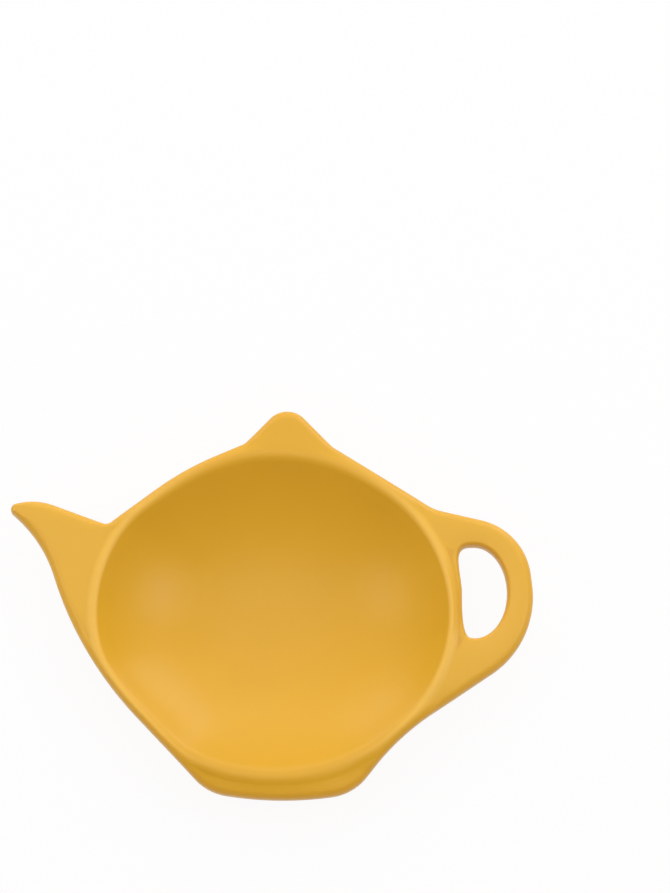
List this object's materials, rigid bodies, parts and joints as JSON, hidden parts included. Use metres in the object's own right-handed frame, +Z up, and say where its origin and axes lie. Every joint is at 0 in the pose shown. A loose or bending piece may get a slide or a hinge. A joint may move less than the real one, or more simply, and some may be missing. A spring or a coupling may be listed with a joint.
{
  "type": "teapot-shaped tea bag saucer",
  "caption": "Shallow oval saucer for a used tea bag, outlined as a teapot: rolled rim, flat spout, knob and pierced handle, stepped base; yellow-glazed stoneware on a dry foot ring.",
  "frame": {"origin": "on the table, under the middle of the overall length and width", "axes": "+X from the spout to the handle, +Y from the base to the knob, +Z up"},
  "size_m": [0.1246, 0.0942, 0.018],
  "materials": {
    "bare_clay": "matt fired buff clay, unglazed",
    "yellow_glaze": "satin warm yellow glaze"
  },
  "bodies": {
    "root": {"stoneware_body": "bare_clay", "outer_glaze": "yellow_glaze", "foot_well_glaze": "yellow_glaze"}
  },
  "joints": []
}
